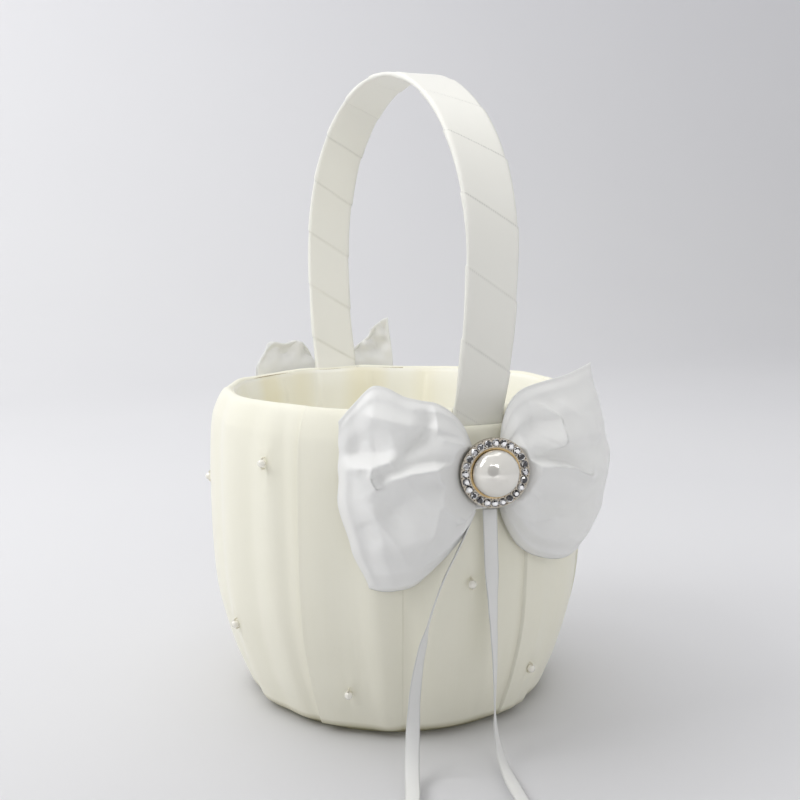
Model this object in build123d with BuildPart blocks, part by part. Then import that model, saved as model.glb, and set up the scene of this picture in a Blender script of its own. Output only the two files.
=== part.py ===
from build123d import *
from math import atan2, cos, pi, radians, sin, tan
import os

# Satin-covered flower girl basket, millimetres.  The origin is the centre of the underside, +Z is up,
# and the bow with the pearl brooch faces -Y.  The handle arches over from -Y to +Y.

# ---- body: a card pail, padded outside, covered and lined with satin ----
body_height = 125.0          # floor to the top of the rim
base_radius = 61.5           # outside, at the foot
belly_radius = 76.0          # outside, at the widest
rim_radius = 70.0            # outside, at the rim
foot_padding = 2.5           # from the outside to the card pail, at the foot
shell_wall = 1.8
satin = 0.8                  # outer cover, a doubled satin
lining_thickness = 0.7
turn_in = 7.0                # how far the cover is folded down inside the rim
turn_under = 7.5             # how far the cover is gathered under the pail
notch_depth = 6.0            # opening in the cover's rim where the handle comes out

# ---- boards and discs, from the underside up ----
foot_satin = 0.6
foot_card = 1.6
foot_inset = 4.0             # the foot disc is smaller than the body by this much
base_board_thickness = 2.0
floor_card_thickness = 1.4
floor_satin_thickness = 0.7

# ---- handle: a stiff strip wound with ribbon ----
strap_width = 19.7
strap_core_thickness = 0.8
wrap = 0.3                   # ribbon wound round the core
handle_flare = 8.7           # middle of the strip past the rim, at its widest
handle_widest_rise = 52.4    # of the widest place above the rim
handle_rise = 122.5          # middle of the strip at the crown, above the rim
foot_length = 36.0           # of the strip inside the cover, below the rim
rim_bend_radius = 14.0
rivet_radius = 1.5
rivet_head_radius = 3.4
rivet_head_thickness = 0.8
rivet_end_cover = 0.2        # card left over the end of each rivet
rivet_shares = (7 / 18, 14 / 18)  # of the foot's length, below the rim

# ---- bows ----
bow_drop = 21.5              # middle of each bow's knot below the rim
neck_half_width = 7.5        # of the pinched middle
neck_half_height = 6.0
neck_thickness = 2.6
neck_overlap = 1.0           # of the pinched middle into each loop
band = 0.6                   # satin band round the pinched middle
band_half_width = 6.5
tie_knot_height = 5.9        # of the little knot under the band
tie_knot_thickness = 3.4
tie_knot_reach = (-9.0, 2.6)  # its two sides

# ---- brooch ----
brooch_turn = 13.0           # degrees that it faces towards -X
brooch_side = -0.6           # its middle from the bow's middle
brooch_rise = 1.1            # its middle above the bow's middle
brooch_standoff = 2.2        # its back from the band
pearl_radius = 8.2
pearl_half_height = 6.2
pearl_clearance = 0.2        # round the pearl in its cup
pearl_seat_rise = 0.6        # the pearl's widest place above the cup
cup_wall = 0.5
cup_floor = 0.4
cup_height = 1.8
plate_thickness = 0.8
plate_inset = 0.65           # the back plate is smaller than the setting by this much
setting_height = 1.7
setting_edge = 0.45          # metal between a stone's pocket and the setting's side
stone_radius = 1.15
stone_height = 1.35
stone_spacing = 0.37         # between one pocket and the next, at least
claw_radius = 0.26
claw_inset = 0.15            # of each claw from the setting's edges
claw_rise = 0.5              # above the setting's face
shank_width = 4.0
shank_height = 1.2

# ---- sewn pearls: direction in degrees from +X, and height as a share of the body ----
side_pearl_radius = 1.5
bore_radius = 0.35
thread_radius = 0.25
side_pearl_places = [
    (-152.9, 0.834), (-171.5, 0.295), (-128.8, 0.162), (-94.1, 0.507),
    (-67.5, 0.177), (-38.0, 0.660), (-12.0, 0.280), (22.0, 0.800),
    (58.0, 0.220), (93.0, 0.520), (128.0, 0.190), (160.0, 0.700),
]

# ---- ribbon tails: hand-chosen routes of the two free ends ----
tail_width = 5.0
left_tail_route = [
    (-6.2, -79.7, 91.0), (-8.6, -79.9, 81.0), (-18.6, -79.6, 67.0), (-24.2, -78.4, 50.0),
    (-28.6, -79.0, 32.0), (-30.2, -80.2, 13.4), (-34.6, -89.0, 3.0), (-41.0, -104.0, 2.6),
    (-50.0, -116.0, 2.6),
]
right_tail_route = [
    (-0.4, -79.8, 91.0), (1.2, -79.6, 60.0), (2.6, -80.4, 31.0),
    (2.0, -80.6, 13.0), (-0.6, -90.2, 3.2), (-5.6, -107.0, 2.6), (-8.6, -121.0, 2.6),
    (-15.0, -134.0, 2.6),
]

# ---- fits ----
gap = 0.3                    # between soft pieces and their neighbours
seat_gap = 0.05              # between pieces that are sewn, glued or set in a seat
bow_gap = 0.2                # between the bows' flat backs and the widest part of the cover
clear_reach = 40.0           # of a cut that runs out past everything

# ---- heights that follow from the stack of boards ----
card_level = foot_satin
cover_level = foot_satin + foot_card
shell_level = cover_level + satin
shell_top = body_height - satin
board_top = shell_level + base_board_thickness
floor_top = board_top + floor_card_thickness + floor_satin_thickness
lining_top = body_height - turn_in
wadding_top = 0.96 * body_height
notch_level = body_height - notch_depth

bow_height = body_height - bow_drop
handle_widest_height = body_height + handle_widest_rise
handle_height = body_height + handle_rise
rivet_depths = [share * foot_length for share in rivet_shares]

shell_base_radius = base_radius - foot_padding
shell_top_radius = rim_radius - satin
shell_slope = (shell_top_radius - shell_base_radius) / (shell_top - shell_level)
shell_tilt = atan2(shell_top_radius - shell_base_radius, shell_top - shell_level)
strap_thickness = strap_core_thickness + 2 * wrap
handle_half_width = rim_radius + handle_flare

# ---- the brooch's rings follow from the pearl outwards ----
cup_outer = pearl_radius + pearl_clearance + cup_wall
setting_inner_radius = cup_outer + seat_gap
setting_radius = setting_inner_radius + 2 * (stone_radius + seat_gap + setting_edge)
plate_radius = setting_radius - plate_inset
stone_ring = (setting_radius + setting_inner_radius) / 2
stone_count = int(2 * pi * stone_ring / (2 * (stone_radius + seat_gap) + stone_spacing))

os.makedirs("parts", exist_ok=True)


def shell_radius(z):
    """Outside radius of the card pail at a height."""
    return shell_base_radius + shell_slope * (z - shell_level)


def barrel(inset, foot_z, full):
    """Points up the padded side, each pulled in by inset; the last is the rim when full."""
    flank = base_radius + 0.48 * (belly_radius - base_radius)
    chest = base_radius + 0.83 * (belly_radius - base_radius)
    shoulder = rim_radius + 0.47 * (belly_radius - rim_radius)
    points = [
        (base_radius - inset, foot_z),
        (flank - inset, 0.165 * body_height),
        (chest - inset, 0.33 * body_height),
        (belly_radius - 0.4 - inset, 0.50 * body_height),
        (belly_radius - inset, 0.68 * body_height),
        (belly_radius - 0.4 - inset, 0.86 * body_height),
        (shoulder - inset, wadding_top),
    ]
    return points + [(rim_radius - inset, body_height)] if full else points


def finish(builder, name, colour):
    """Label one finished piece and write it."""
    builder.part.label = name
    builder.part.color = Color(*colour)
    export_step(builder.part, f"parts/{name}.step")


ivory = (0.90, 0.88, 0.78)
white = (0.94, 0.94, 0.93)
card = (0.72, 0.66, 0.54)
silver = (0.75, 0.75, 0.78)

# ------------------------------------------------------------------ pail
with BuildPart() as pail_shell:
    with BuildSketch(Plane.XZ):
        with BuildLine():
            Polyline(
                (shell_base_radius, shell_level),
                (shell_top_radius, shell_top),
                (shell_top_radius - shell_wall, shell_top),
                (shell_base_radius - shell_wall, shell_level),
                close=True,
            )
        make_face()
    revolve(axis=Axis.Z)

with BuildPart() as base_board:
    with BuildSketch(Plane.XZ):
        with BuildLine():
            Polyline(
                (0, shell_level),
                (shell_radius(shell_level) - shell_wall, shell_level),
                (shell_radius(board_top) - shell_wall, board_top),
                (0, board_top),
                close=True,
            )
        make_face()
    revolve(axis=Axis.Z)


# ------------------------------------------------------------------ handle strip
def strap_layer(inner, outer, half_width):
    """A layer of the strip between two distances from its inner face, as wide as two half widths."""
    crown_y = handle_half_width - strap_thickness / 2
    crown_z = handle_height - strap_thickness / 2 - handle_widest_height
    foot_z = shell_top - foot_length

    def foot_y(z, distance):
        return shell_radius(z) + seat_gap + distance / cos(shell_tilt)

    with BuildPart() as layer:
        with BuildSketch(Plane.YZ) as face:
            with BuildLine():
                for distance in (inner, outer):
                    for side in (1, -1):
                        foot = (side * foot_y(foot_z, distance), foot_z)
                        rim = (side * foot_y(shell_top, distance), shell_top)
                        widest = (side * (crown_y + distance), handle_widest_height)
                        Line(foot, rim)
                        TangentArc(widest, rim, tangent=(0, -1))
                    EllipticalCenterArc(
                        (0, handle_widest_height), crown_y + distance, crown_z + distance,
                        start_angle=0, arc_size=180,
                    )
                for side in (1, -1):
                    Line((side * foot_y(foot_z, inner), foot_z), (side * foot_y(foot_z, outer), foot_z))
            make_face()
            rim_corners = face.vertices().group_by(Axis.Y)[1]
            fillet(rim_corners, rim_bend_radius)
        extrude(amount=half_width, both=True)
    return layer.part


with BuildPart() as handle_core:
    add(strap_layer(wrap, wrap + strap_core_thickness, strap_width / 2 - wrap))

with BuildPart() as strap_envelope:
    add(strap_layer(0, strap_thickness, strap_width / 2))

# The wound ribbon is a sleeve all round the core, open where the strip is cut off at its feet.
with BuildPart() as handle_wrap:
    add(strap_envelope.part)
    add(handle_core.part, mode=Mode.SUBTRACT)

# ------------------------------------------------------------------ rivets through strip and pail
with BuildPart() as handle_rivets:
    for depth in rivet_depths:
        z = shell_top - depth
        face_y = shell_radius(z) + seat_gap + strap_thickness / cos(shell_tilt)
        for side in (1, -1):
            seat = Plane(
                origin=(0, side * face_y, z),
                x_dir=(1, 0, 0),
                z_dir=(0, side * cos(shell_tilt), -sin(shell_tilt)),
            )
            shank_length = strap_thickness + seat_gap + shell_wall - rivet_end_cover
            with BuildSketch(seat):
                Circle(rivet_head_radius)
            extrude(amount=rivet_head_thickness)
            with BuildSketch(seat):
                Circle(rivet_radius)
            extrude(amount=-shank_length)

rivet_solids = handle_rivets.part

# ------------------------------------------------------------------ padding and outer cover
with BuildPart() as strap_notch:
    with Locations((0, 0, notch_level)):
        Box(
            strap_width + 2 * gap, 4 * belly_radius, 2 * notch_depth,
            align=(Align.CENTER, Align.CENTER, Align.MIN),
        )
    with BuildSketch(Plane.XZ):
        with BuildLine():
            Polyline(
                (0, shell_level),
                (shell_base_radius, shell_level),
                (shell_top_radius, shell_top),
                (shell_top_radius, body_height + 3 * notch_depth),
                (0, body_height + 3 * notch_depth),
                close=True,
            )
        make_face()
    revolve(axis=Axis.Z, mode=Mode.SUBTRACT)

with BuildPart() as side_wadding:
    with BuildSketch(Plane.XZ):
        with BuildLine():
            side_line = Spline(*barrel(satin, shell_level, full=False))
            Polyline(
                side_line @ 1,
                (shell_radius(wadding_top), wadding_top),
                (shell_base_radius, shell_level),
                side_line @ 0,
            )
        make_face()
    revolve(axis=Axis.Z)
    add(strap_notch.part, mode=Mode.SUBTRACT)
    add(strap_envelope.part, mode=Mode.SUBTRACT)
    add(rivet_solids, mode=Mode.SUBTRACT)

with BuildPart() as satin_cover:
    with BuildSketch(Plane.XZ):
        with BuildLine():
            outside = Spline(*barrel(0, cover_level, full=True))
            inside = Spline(*barrel(satin, shell_level, full=False))
            inner_radius = shell_top_radius - shell_wall
            lip_radius = shell_radius(lining_top) - shell_wall
            Polyline(
                outside @ 1,
                (inner_radius - satin, body_height),
                (lip_radius - satin, lining_top),
                (lip_radius, lining_top),
                (inner_radius, shell_top),
                (shell_top_radius, shell_top),
                (shell_radius(wadding_top), wadding_top),
                inside @ 1,
            )
            Polyline(
                inside @ 0,
                (base_radius - turn_under, shell_level),
                (base_radius - turn_under, cover_level),
                outside @ 0,
            )
        make_face()
    revolve(axis=Axis.Z)
    add(strap_notch.part, mode=Mode.SUBTRACT)

# The pail and its pieces are drilled where the rivets go through.
with BuildPart() as drilled_shell:
    add(pail_shell.part)
    add(rivet_solids, mode=Mode.SUBTRACT)

with BuildPart() as drilled_core:
    add(handle_core.part)
    add(rivet_solids, mode=Mode.SUBTRACT)

with BuildPart() as drilled_wrap:
    add(handle_wrap.part)
    add(rivet_solids, mode=Mode.SUBTRACT)

# ------------------------------------------------------------------ lining and floor
lining_foot = shell_radius(board_top) - shell_wall
with BuildPart() as satin_lining:
    with BuildSketch(Plane.XZ):
        with BuildLine():
            Polyline(
                (lining_foot, board_top),
                (shell_radius(lining_top) - shell_wall, lining_top),
                (shell_radius(lining_top) - shell_wall - lining_thickness, lining_top),
                (lining_foot - lining_thickness, board_top),
                close=True,
            )
        make_face()
    revolve(axis=Axis.Z)

floor_radius = lining_foot - lining_thickness - gap
with BuildPart() as floor_card:
    with BuildSketch(Plane.XY.offset(board_top)):
        Circle(floor_radius - floor_satin_thickness)
    extrude(amount=floor_card_thickness)

with BuildPart() as floor_satin:
    with BuildSketch(Plane.XY.offset(board_top)):
        Circle(floor_radius)
    extrude(amount=floor_top - board_top)
    top_edge = floor_satin.edges().group_by(Axis.Z)[-1]
    fillet(top_edge, 0.6 * floor_satin_thickness)
    add(floor_card.part, mode=Mode.SUBTRACT)

# ------------------------------------------------------------------ foot disc
foot_radius = base_radius - foot_inset
with BuildPart() as foot_card_disc:
    with BuildSketch(Plane.XY.offset(card_level)):
        Circle(foot_radius - foot_satin)
    extrude(amount=foot_card)

with BuildPart() as foot_disc_satin:
    with BuildSketch():
        Circle(foot_radius)
    extrude(amount=cover_level)
    add(foot_card_disc.part, mode=Mode.SUBTRACT)

# ------------------------------------------------------------------ bows
# The cover's smooth line swells a little past its own points, so its real reach is measured, to a tenth.
cover_reach = round(satin_cover.part.bounding_box().max.X, 1)
bow_back = cover_reach + bow_gap
band_face = bow_back + neck_thickness + 2 * band

with BuildPart() as body_clearance:
    with BuildSketch(Plane.XZ):
        with BuildLine():
            flare = Spline(*barrel(-gap, cover_level, full=True))
            Polyline(
                flare @ 1,
                (rim_radius + gap, body_height + gap),
                (0, body_height + gap),
                (0, cover_level),
                flare @ 0,
            )
        make_face()
    revolve(axis=Axis.Z)

# Each loop swells from the pinched neck and closes again at its far end.  A row is the angle round the
# body, the half thickness, the half height, and how far its middle is above the knot.
front_left_rows = [
    (4.5, 1.3, 6.0, 0.5), (9.0, 3.6, 16.0, 4.0), (17.0, 7.0, 26.0, 1.0),
    (28.0, 8.0, 35.0, -3.5), (37.0, 5.0, 34.0, -6.5), (41.0, 2.0, 30.0, -7.5),
]
front_right_rows = [
    (4.5, 1.3, 6.0, 0.5), (9.0, 3.6, 17.0, 6.0), (17.0, 7.0, 28.0, 3.0),
    (27.0, 8.0, 34.0, 1.5), (36.0, 5.0, 34.0, 1.5), (40.0, 2.0, 30.0, 1.0),
]
rear_left_rows = [
    (4.5, 1.3, 6.0, 0.0), (10.0, 3.6, 18.0, 5.0), (19.0, 7.0, 31.0, 2.5),
    (28.0, 7.0, 31.0, -1.0), (36.0, 4.0, 26.0, -4.0),
]
rear_right_rows = [
    (4.5, 1.3, 6.0, 0.0), (10.0, 3.6, 18.0, 6.0), (19.0, 7.0, 37.0, 5.0),
    (26.0, 6.0, 35.0, 6.0), (31.0, 3.0, 30.0, 4.0),
]


def loop_solid(rows, side, front):
    """One closed loop of a bow.  side is -1 towards -X or 1 towards +X; front is -1 at -Y, 1 at +Y."""
    with BuildPart() as loop:
        for angle, half_thickness, half_height, rise in rows:
            a = radians(angle)
            distance = bow_back + half_thickness
            outward = Vector(side * sin(a), front * cos(a), 0)
            along = Vector(side * cos(a), -front * sin(a), 0)
            middle = outward * distance + Vector(0, 0, bow_height + rise)
            with BuildSketch(Plane(origin=middle, x_dir=outward, z_dir=along)):
                Ellipse(half_thickness, half_height)
        loft()
    return loop.part


def neck_box(front, margin, half_width):
    """The pinched middle of a bow, or the same grown by a margin, as centre and size."""
    thickness = neck_thickness + 2 * margin
    middle_y = front * (bow_back + band + neck_thickness / 2)
    return (0, middle_y, bow_height), (2 * half_width, thickness, 2 * (neck_half_height + margin))


def bow_band(front):
    """The satin band that pinches a bow, a flat sleeve round its neck."""
    with BuildPart() as sleeve:
        centre, size = neck_box(front, band, band_half_width)
        with Locations(centre):
            Box(*size)
        fillet(sleeve.edges().filter_by(Axis.X), 0.5 * band)
        centre, size = neck_box(front, 0, band_half_width)
        with Locations(centre):
            Box(*size, mode=Mode.SUBTRACT)
    return sleeve.part


def bow_solid(left_rows, right_rows, front):
    """A whole bow: two loops and the neck, clear of the body and of its own band."""
    left_loop = loop_solid(left_rows, -1, front)
    right_loop = loop_solid(right_rows, 1, front)
    with BuildPart() as bow:
        add(left_loop)
        add(right_loop)
        add(body_clearance.part, mode=Mode.SUBTRACT)
        centre, size = neck_box(front, band, band_half_width)
        with Locations(centre):
            Box(*size, mode=Mode.SUBTRACT)
        centre, size = neck_box(front, 0, neck_half_width + neck_overlap)
        with Locations(centre):
            Box(*size)
    return bow.part


brooch_plane = Plane(
    origin=(brooch_side, -(band_face + brooch_standoff), bow_height + brooch_rise),
    x_dir=(cos(radians(brooch_turn)), -sin(radians(brooch_turn)), 0),
    z_dir=(-sin(radians(brooch_turn)), -cos(radians(brooch_turn)), 0),
)


def tie_knot_box(margin):
    """The block under the band that the tie's knot fills, or the same grown by a margin."""
    low, high = tie_knot_reach
    top = bow_height - neck_half_height - band
    with BuildPart() as block:
        with Locations(((low + high) / 2, -bow_back - tie_knot_thickness / 2, top + margin)):
            Box(
                high - low + 2 * margin, tie_knot_thickness + 2 * margin, tie_knot_height + 2 * margin,
                align=(Align.CENTER, Align.CENTER, Align.MAX),
            )
    return block.part


# A round space for the brooch, pressed into the front bow.
with BuildPart() as brooch_space:
    with BuildSketch(brooch_plane):
        Circle(setting_radius + gap)
    extrude(amount=clear_reach)

with BuildPart() as front_bow:
    add(bow_solid(front_left_rows, front_right_rows, -1))
    add(brooch_space.part, mode=Mode.SUBTRACT)
    add(tie_knot_box(gap), mode=Mode.SUBTRACT)

with BuildPart() as rear_bow:
    add(bow_solid(rear_left_rows, rear_right_rows, 1))

# ------------------------------------------------------------------ brooch
# The shank is soldered to the turned plate and sewn down square on the band.
with BuildPart() as brooch_shank:
    with BuildSketch(brooch_plane):
        Rectangle(shank_width, shank_height)
    extrude(amount=-clear_reach)
    with Locations((0, -band_face, bow_height)):
        Box(
            clear_reach, 2 * clear_reach, clear_reach,
            align=(Align.CENTER, Align.MIN, Align.CENTER), mode=Mode.SUBTRACT,
        )

with BuildPart() as brooch_plate:
    with BuildSketch(brooch_plane):
        Circle(plate_radius)
    extrude(amount=plate_thickness)

pocket_depth = 0.55 * stone_height
stone_floor = plate_thickness + setting_height - pocket_depth
with BuildPart() as brooch_setting:
    with BuildSketch(brooch_plane.offset(plate_thickness)):
        Circle(setting_radius)
        Circle(setting_inner_radius, mode=Mode.SUBTRACT)
    extrude(amount=setting_height)
    with BuildSketch(brooch_plane.offset(plate_thickness + setting_height)):
        with PolarLocations(stone_ring, stone_count):
            Circle(stone_radius + seat_gap)
    extrude(amount=-pocket_depth, mode=Mode.SUBTRACT)
    with BuildSketch(brooch_plane.offset(plate_thickness + setting_height - claw_rise)):
        edge = claw_radius + claw_inset
        for claw_ring in (setting_radius - edge, setting_inner_radius + edge):
            with PolarLocations(claw_ring, stone_count, start_angle=180 / stone_count):
                Circle(claw_radius)
    extrude(amount=2 * claw_rise)

with BuildPart() as stone_unit:
    with BuildSketch(Plane.XZ):
        with BuildLine():
            Polyline(
                (0, 0),
                (0.35 * stone_radius, 0),
                (stone_radius, 0.45 * stone_height),
                (stone_radius, 0.60 * stone_height),
                (0.60 * stone_radius, stone_height),
                (0, stone_height),
                close=True,
            )
        make_face()
    revolve(axis=Axis.Z)

with BuildPart() as brooch_rhinestones:
    with Locations(brooch_plane.offset(stone_floor)):
        with PolarLocations(stone_ring, stone_count):
            add(stone_unit.part)

pearl_level = plate_thickness + cup_height + pearl_seat_rise
pearl_foot = plate_thickness + cup_floor - pearl_level
with BuildPart() as pearl_form:
    with BuildSketch(Plane.XZ):
        with BuildLine():
            dome = Spline(
                (pearl_radius, 0),
                (pearl_radius * cos(pi / 4), pearl_half_height * sin(pi / 4)),
                (0, pearl_half_height),
                tangents=((0, 1), (-1, 0)),
            )
            Polyline(dome @ 1, (0, pearl_foot), (0.93 * pearl_radius, pearl_foot), dome @ 0)
        make_face()
    revolve(axis=Axis.Z)

with BuildPart() as brooch_pearl:
    with Locations(brooch_plane.offset(pearl_level)):
        add(pearl_form.part)

with BuildPart() as brooch_cup:
    with BuildSketch(brooch_plane.offset(plate_thickness)):
        Circle(cup_outer)
    extrude(amount=cup_height)
    with BuildSketch(brooch_plane.offset(plate_thickness + cup_floor)):
        Circle(cup_outer - cup_wall)
    extrude(amount=cup_height, mode=Mode.SUBTRACT)
    add(brooch_pearl.part, mode=Mode.SUBTRACT)

# ------------------------------------------------------------------ bands and the tie's knot
with BuildPart() as front_bow_band:
    add(bow_band(-1))

with BuildPart() as rear_bow_band:
    add(bow_band(1))

# The narrow ribbon's knot hangs under the band, and its two ends are the tails.
with BuildPart() as tie_knot:
    add(tie_knot_box(0))
    fillet(tie_knot.edges().filter_by(Axis.Z), 1.2)


# ------------------------------------------------------------------ ribbon tails
def tail(route):
    """A round stand-in along a ribbon's route, with tangent arcs as large as the runs allow."""
    points = [Vector(*p) for p in route]
    radii = []
    for before, corner, after in zip(points, points[1:], points[2:]):
        turn = (corner - before).get_angle(after - corner)
        shorter = min((corner - before).length, (after - corner).length)
        radii.append(0.45 * shorter / tan(radians(turn) / 2))
    with BuildPart() as tube:
        with BuildLine():
            path = FilletPolyline(*points, radius=radii)
        with BuildSketch(Plane(origin=path @ 0, z_dir=path % 0)):
            Circle(tail_width / 2)
        sweep()
    return tube.part, radii, path.length


tails = {}
for name, route in (("left_tail", left_tail_route), ("right_tail", right_tail_route)):
    solid, radii, length = tail(route)
    tails[name] = solid
    ideal = pi * (tail_width / 2) ** 2 * length
    print(name, "length", round(length, 1), "radii", [round(r, 1) for r in radii])
    print(name, "volume", round(solid.volume, 1), "section x length", round(ideal, 1))

with BuildPart() as left_tail:
    add(tails["left_tail"])

with BuildPart() as right_tail:
    add(tails["right_tail"])

with BuildPart() as knot_with_exits:
    add(tie_knot.part)
    add(left_tail.part, mode=Mode.SUBTRACT)
    add(right_tail.part, mode=Mode.SUBTRACT)

# ------------------------------------------------------------------ pearls sewn round the side
with BuildPart() as pearl_unit:
    Sphere(side_pearl_radius)
    Cylinder(bore_radius, 4 * side_pearl_radius, mode=Mode.SUBTRACT)

stitch_reach = side_pearl_radius + 2 * thread_radius
with BuildPart() as stitch_unit:
    with BuildLine():
        stitch = FilletPolyline(
            (-side_pearl_radius, 0, -stitch_reach),
            (0, 0, -stitch_reach),
            (0, 0, stitch_reach),
            (-side_pearl_radius, 0, stitch_reach),
            radius=1.5 * thread_radius,
        )
    with BuildSketch(Plane(origin=stitch @ 0, z_dir=stitch % 0)):
        Circle(thread_radius)
    sweep()


def pearl_location(angle, share):
    """Where a sewn pearl rests on the cover: its own -X points at the surface."""
    z = share * body_height
    outward = Vector(cos(radians(angle)), sin(radians(angle)), 0)
    hits = satin_cover.part.find_intersection_points(Axis((0, 0, z), outward))
    surface, normal = max(hits, key=lambda hit: hit[0].dot(outward))
    centre = surface + normal * (side_pearl_radius + gap)
    tangent = normal.cross(Vector(-outward.Y, outward.X, 0)).normalized()
    return Plane(origin=centre, x_dir=normal, z_dir=tangent).location


pearl_locations = [pearl_location(*place) for place in side_pearl_places]

with BuildPart() as side_pearls:
    with Locations(*pearl_locations):
        add(pearl_unit.part)

with BuildPart() as pearl_threads:
    with Locations(*pearl_locations):
        add(stitch_unit.part)

# ------------------------------------------------------------------ written pieces
finish(drilled_shell, "pail_shell", card)
finish(base_board, "base_board", card)
finish(side_wadding, "side_wadding", white)
finish(satin_cover, "satin_cover", ivory)
finish(satin_lining, "satin_lining", (0.92, 0.90, 0.72))
finish(floor_card, "floor_card", card)
finish(floor_satin, "floor_satin", ivory)
finish(foot_card_disc, "foot_card", card)
finish(foot_disc_satin, "foot_satin", ivory)
finish(drilled_core, "handle_core", card)
finish(drilled_wrap, "handle_wrap", white)
finish(handle_rivets, "handle_rivets", silver)
finish(front_bow, "front_bow", white)
finish(front_bow_band, "front_bow_band", white)
finish(rear_bow, "rear_bow", white)
finish(rear_bow_band, "rear_bow_band", white)
finish(knot_with_exits, "tie_knot", white)
finish(left_tail, "left_tail", white)
finish(right_tail, "right_tail", white)
finish(brooch_shank, "brooch_shank", silver)
finish(brooch_plate, "brooch_plate", silver)
finish(brooch_setting, "brooch_setting", silver)
finish(brooch_rhinestones, "brooch_rhinestones", (0.6, 0.6, 0.75))
finish(brooch_cup, "brooch_cup", (0.8, 0.65, 0.35))
finish(brooch_pearl, "brooch_pearl", (0.95, 0.94, 0.9))
finish(side_pearls, "side_pearls", (0.95, 0.92, 0.8))
finish(pearl_threads, "pearl_threads", white)
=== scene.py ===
# %% [markdown]
# # A satin flower girl basket
# A card pail is padded, covered and lined with satin, and carries a wound strip handle, two satin bows,
# a pearl brooch and two narrow ribbon tails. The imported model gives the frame: every size below is in
# metres and sits in the same place as the solid that it dresses.

# %% Frame
import math

import bmesh
import bpy
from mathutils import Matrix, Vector, noise


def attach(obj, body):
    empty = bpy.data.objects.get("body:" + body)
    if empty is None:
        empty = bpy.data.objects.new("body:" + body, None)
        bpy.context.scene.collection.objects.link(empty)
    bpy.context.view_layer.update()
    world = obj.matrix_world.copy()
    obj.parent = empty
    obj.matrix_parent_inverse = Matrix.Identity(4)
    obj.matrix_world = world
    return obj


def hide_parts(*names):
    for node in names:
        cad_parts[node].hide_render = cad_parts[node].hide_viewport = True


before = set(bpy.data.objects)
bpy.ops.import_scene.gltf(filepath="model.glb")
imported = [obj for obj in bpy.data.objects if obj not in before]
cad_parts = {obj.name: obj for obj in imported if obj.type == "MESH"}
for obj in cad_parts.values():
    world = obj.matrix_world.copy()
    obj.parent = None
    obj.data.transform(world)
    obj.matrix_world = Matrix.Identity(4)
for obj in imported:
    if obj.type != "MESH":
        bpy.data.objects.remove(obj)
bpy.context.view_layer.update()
MM = 0.001

# %% [markdown]
# ## Camera
# A product shot is taken from a little above, with a short telephoto lens, so the mouth of the basket
# shows as a narrow ellipse. The camera stands a little to the left of the bow.

# %% Camera
CAMERA_BEARING = math.radians(-24.33)
CAMERA_DISTANCE = 416.8 * MM
CAMERA_HEIGHT = 180.6 * MM
CAMERA_DIP = 8.5  # degrees below level
CAMERA_TURN = -24.53  # degrees about the vertical


def add_object(name, data):
    """A new object, linked into the scene."""
    made = bpy.data.objects.new(name, data)
    bpy.context.scene.collection.objects.link(made)
    return made


camera_data = bpy.data.cameras.new("camera")
camera_data.lens = 45.6
camera_data.sensor_width = 36.0
camera_data.clip_start = 0.01
camera = add_object("camera", camera_data)
camera.location = (
    math.sin(CAMERA_BEARING) * CAMERA_DISTANCE,
    -math.cos(CAMERA_BEARING) * CAMERA_DISTANCE,
    CAMERA_HEIGHT,
)
camera.rotation_euler = (math.radians(90 - CAMERA_DIP), 0, math.radians(CAMERA_TURN))
bpy.context.scene.camera = camera
print("camera at", [round(v, 3) for v in camera.location])

# %% [markdown]
# ## Stage and light
# The floor runs up into the backdrop in one sweep, so there is no corner line. A soft key light stands
# high on the left and models the folds. A strong, broad one at the front left opens the front, a weak
# one overhead touches the rim and the crown of the handle, and a fourth lights the paper behind. The
# world is a plain pale grey, which keeps the shadows open as a white studio does.

# %% Light
def area_light(name, place, target, size, power):
    """A square soft light that looks at a point."""
    data = bpy.data.lights.new(name, "AREA")
    data.size = size
    data.energy = power
    light = add_object(name, data)
    light.location = place
    direction = Vector(target) - Vector(place)
    light.rotation_mode = "QUATERNION"
    light.rotation_quaternion = direction.to_track_quat("-Z", "Y")


BASKET_MIDDLE = (0, 0, 0.12)
area_light("key_light", (-0.90, 0.16, 0.86), BASKET_MIDDLE, 0.6, 4.4)
area_light("front_fill", (-0.45, -1.10, 0.55), BASKET_MIDDLE, 0.7, 8.0)
area_light("top_light", (0.10, 0.15, 1.20), BASKET_MIDDLE, 0.8, 2.0)
area_light("backdrop_light", (-0.9, 0.7, 1.9), (-0.45, 1.7, 1.45), 0.8, 15.5)
world = bpy.data.worlds.new("studio")
world.use_nodes = True
world.node_tree.nodes["Background"].inputs["Color"].default_value = (0.95, 0.95, 0.96, 1)
world.node_tree.nodes["Background"].inputs["Strength"].default_value = 0.66
bpy.context.scene.world = world
bpy.context.scene.view_settings.view_transform = "Standard"
print("lights", len(bpy.data.lights))

# %% [markdown]
# ## Shader arithmetic
# Node trees are easier to read as sums. `Wire` holds one socket, and arithmetic on it adds Math nodes.
# `Finish` is one material: `node` adds any node from its type, its settings and its inputs. `speckled`
# makes the plain finishes, whose colour is only broken up by fine grains.

# %% Shader helpers
class Wire:
    """One output socket in a material, with arithmetic."""

    def __init__(self, finish, socket):
        self.finish = finish
        self.socket = socket

    def math(self, operation, first, second=0.0):
        return self.finish.node("ShaderNodeMath", {"operation": operation}, {0: first, 1: second})

    def __add__(self, other):
        return self.math("ADD", self, other)

    __radd__ = __add__

    def __mul__(self, other):
        return self.math("MULTIPLY", self, other)

    __rmul__ = __mul__

    def __sub__(self, other):
        return self.math("SUBTRACT", self, other)

    def __rsub__(self, other):
        return self.math("SUBTRACT", other, self)

    def fraction(self):
        return self.math("FRACT", self)

    def sine(self):
        return self.math("SINE", self)


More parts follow.
